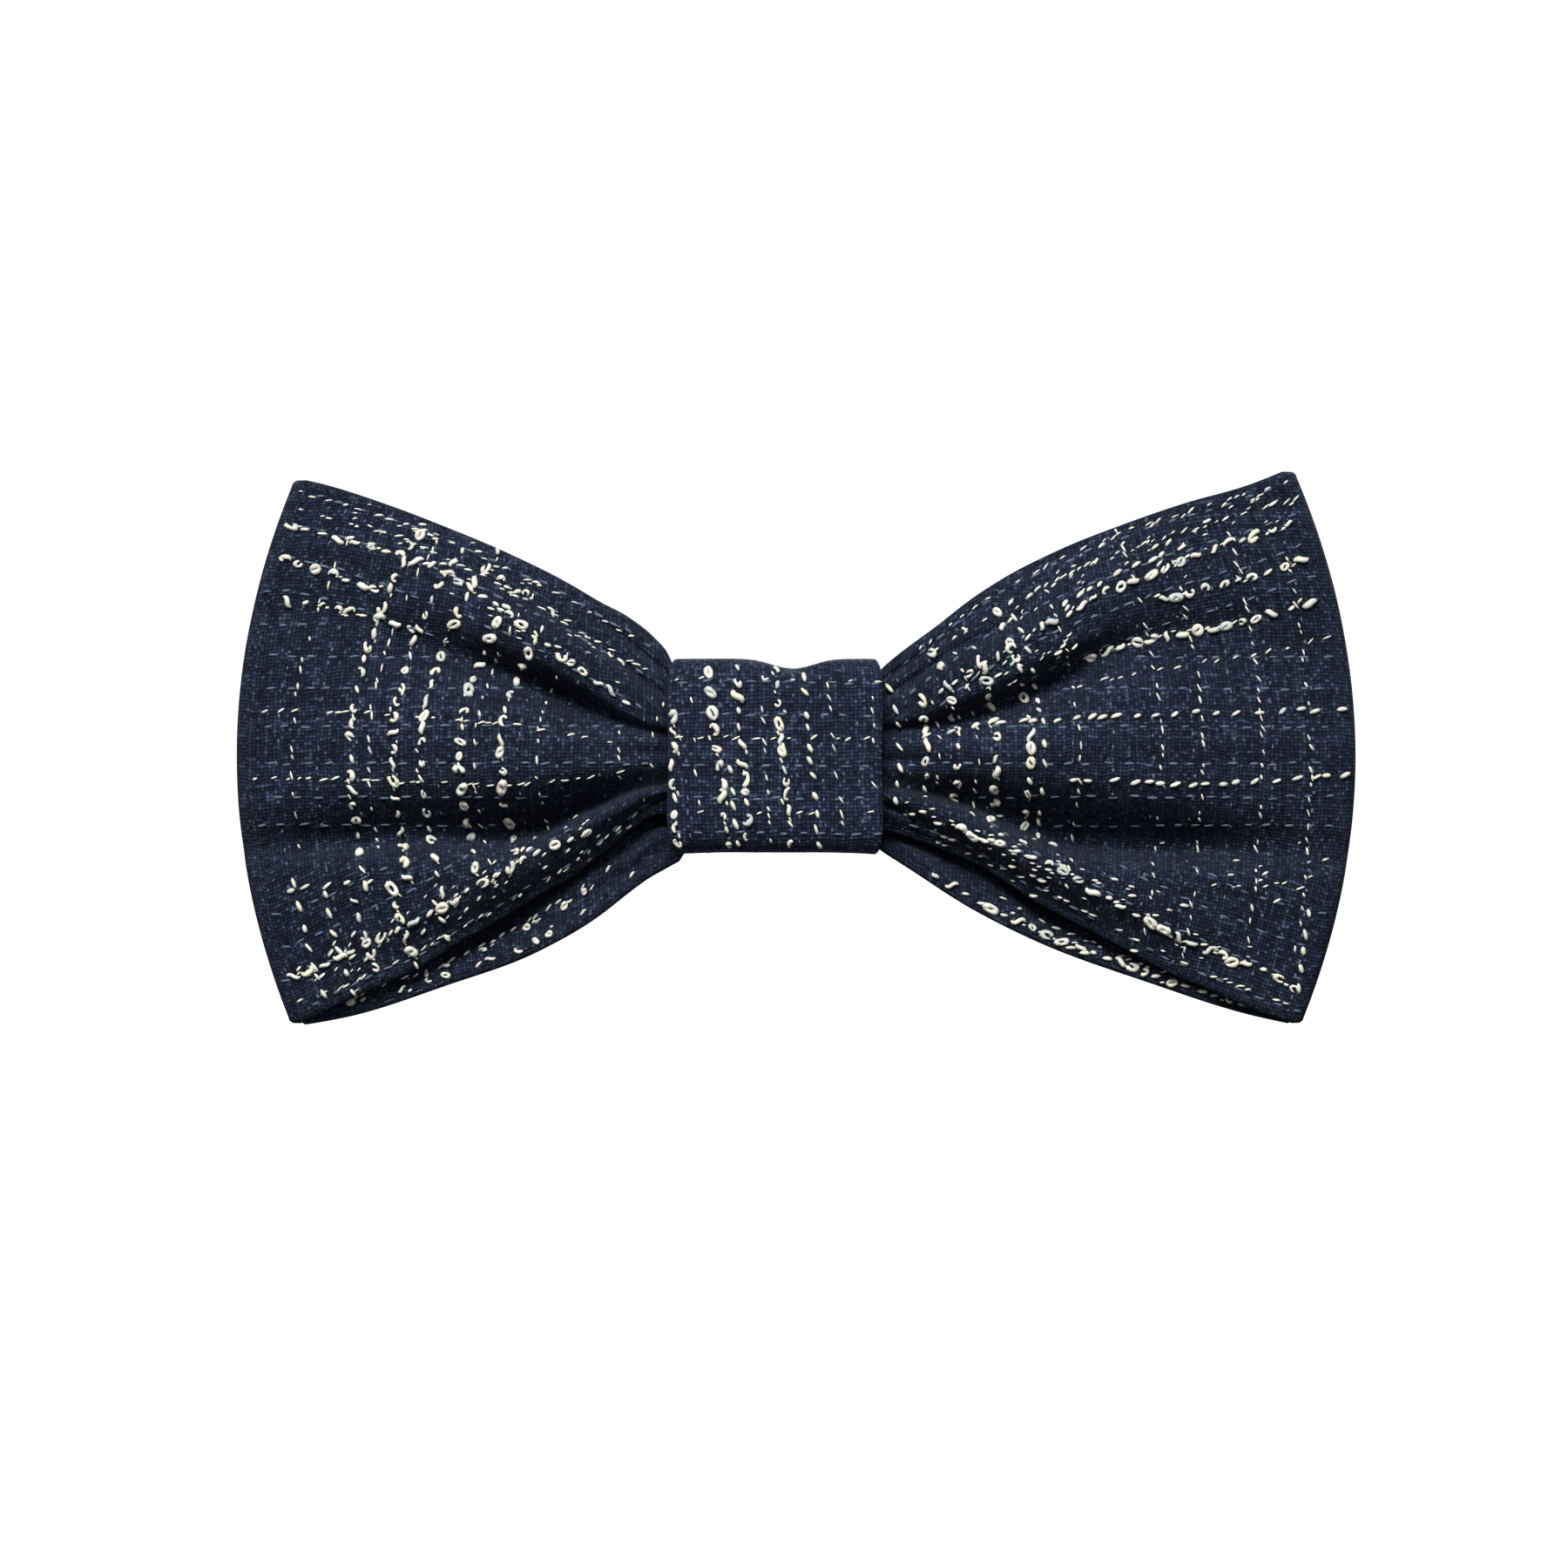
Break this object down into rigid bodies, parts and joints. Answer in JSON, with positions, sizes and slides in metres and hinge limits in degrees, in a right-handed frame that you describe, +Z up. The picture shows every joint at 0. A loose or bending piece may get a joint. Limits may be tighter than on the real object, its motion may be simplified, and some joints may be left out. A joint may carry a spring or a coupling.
{
  "type": "bow tie",
  "caption": "Clip-on bow tie: gathered navy slub-tweed bow held by a wrapped knot, with a sprung collar clip behind the knot.",
  "frame": {"origin": "middle of the clip's base plate on its collar side, behind the middle of the knot", "axes": "+X to the right as seen from the front, +Z up as worn, +Y back towards the collar; the bow's front faces -Y"},
  "size_m": [0.1199, 0.0225, 0.0586],
  "materials": {
    "tweed": "navy slub tweed with ivory and pale blue yarns",
    "interlining": "undyed brushed woven",
    "thread": "navy cotton sewing thread",
    "clip_steel": "nickel-plated spring steel",
    "pin_steel": "bright drawn wire",
    "spring_wire": "bright spring wire",
    "grip_vinyl": "soft grey vinyl"
  },
  "bodies": {
    "bow": {"bow_outer_ply": "tweed", "bow_interlining": "interlining", "bow_inner_ply": "tweed", "gather_thread": "thread", "centre_back_stitch": "thread", "knot_interlining": "interlining", "knot_wrap": "tweed", "knot_whipstitch": "thread", "clip_base_plate": "clip_steel", "hinge_pin_left": "pin_steel", "hinge_pin_right": "pin_steel", "grip_pad_left": "grip_vinyl", "grip_pad_right": "grip_vinyl", "torsion_spring_left": "spring_wire", "torsion_spring_right": "spring_wire"},
    "left_jaw": {"jaw_left": "clip_steel"},
    "right_jaw": {"jaw_right": "clip_steel"}
  },
  "joints": [
    {"name": "left_jaw_pivot", "type": "hinge", "parent": "bow", "child": "left_jaw", "pos_m": [-0.0135, 0.0024, 0], "axis": [0, 0, -1], "range_deg": [0, 25], "stiffness_Nm_per_rad": 0.004, "springref_deg": -40.11, "deforming": ["torsion_spring_left"]},
    {"name": "right_jaw_pivot", "type": "hinge", "parent": "bow", "child": "right_jaw", "pos_m": [0.0135, 0.0024, 0], "axis": [0, 0, 1], "range_deg": [0, 25], "stiffness_Nm_per_rad": 0.004, "springref_deg": -40.11, "deforming": ["torsion_spring_right"]}
  ]
}
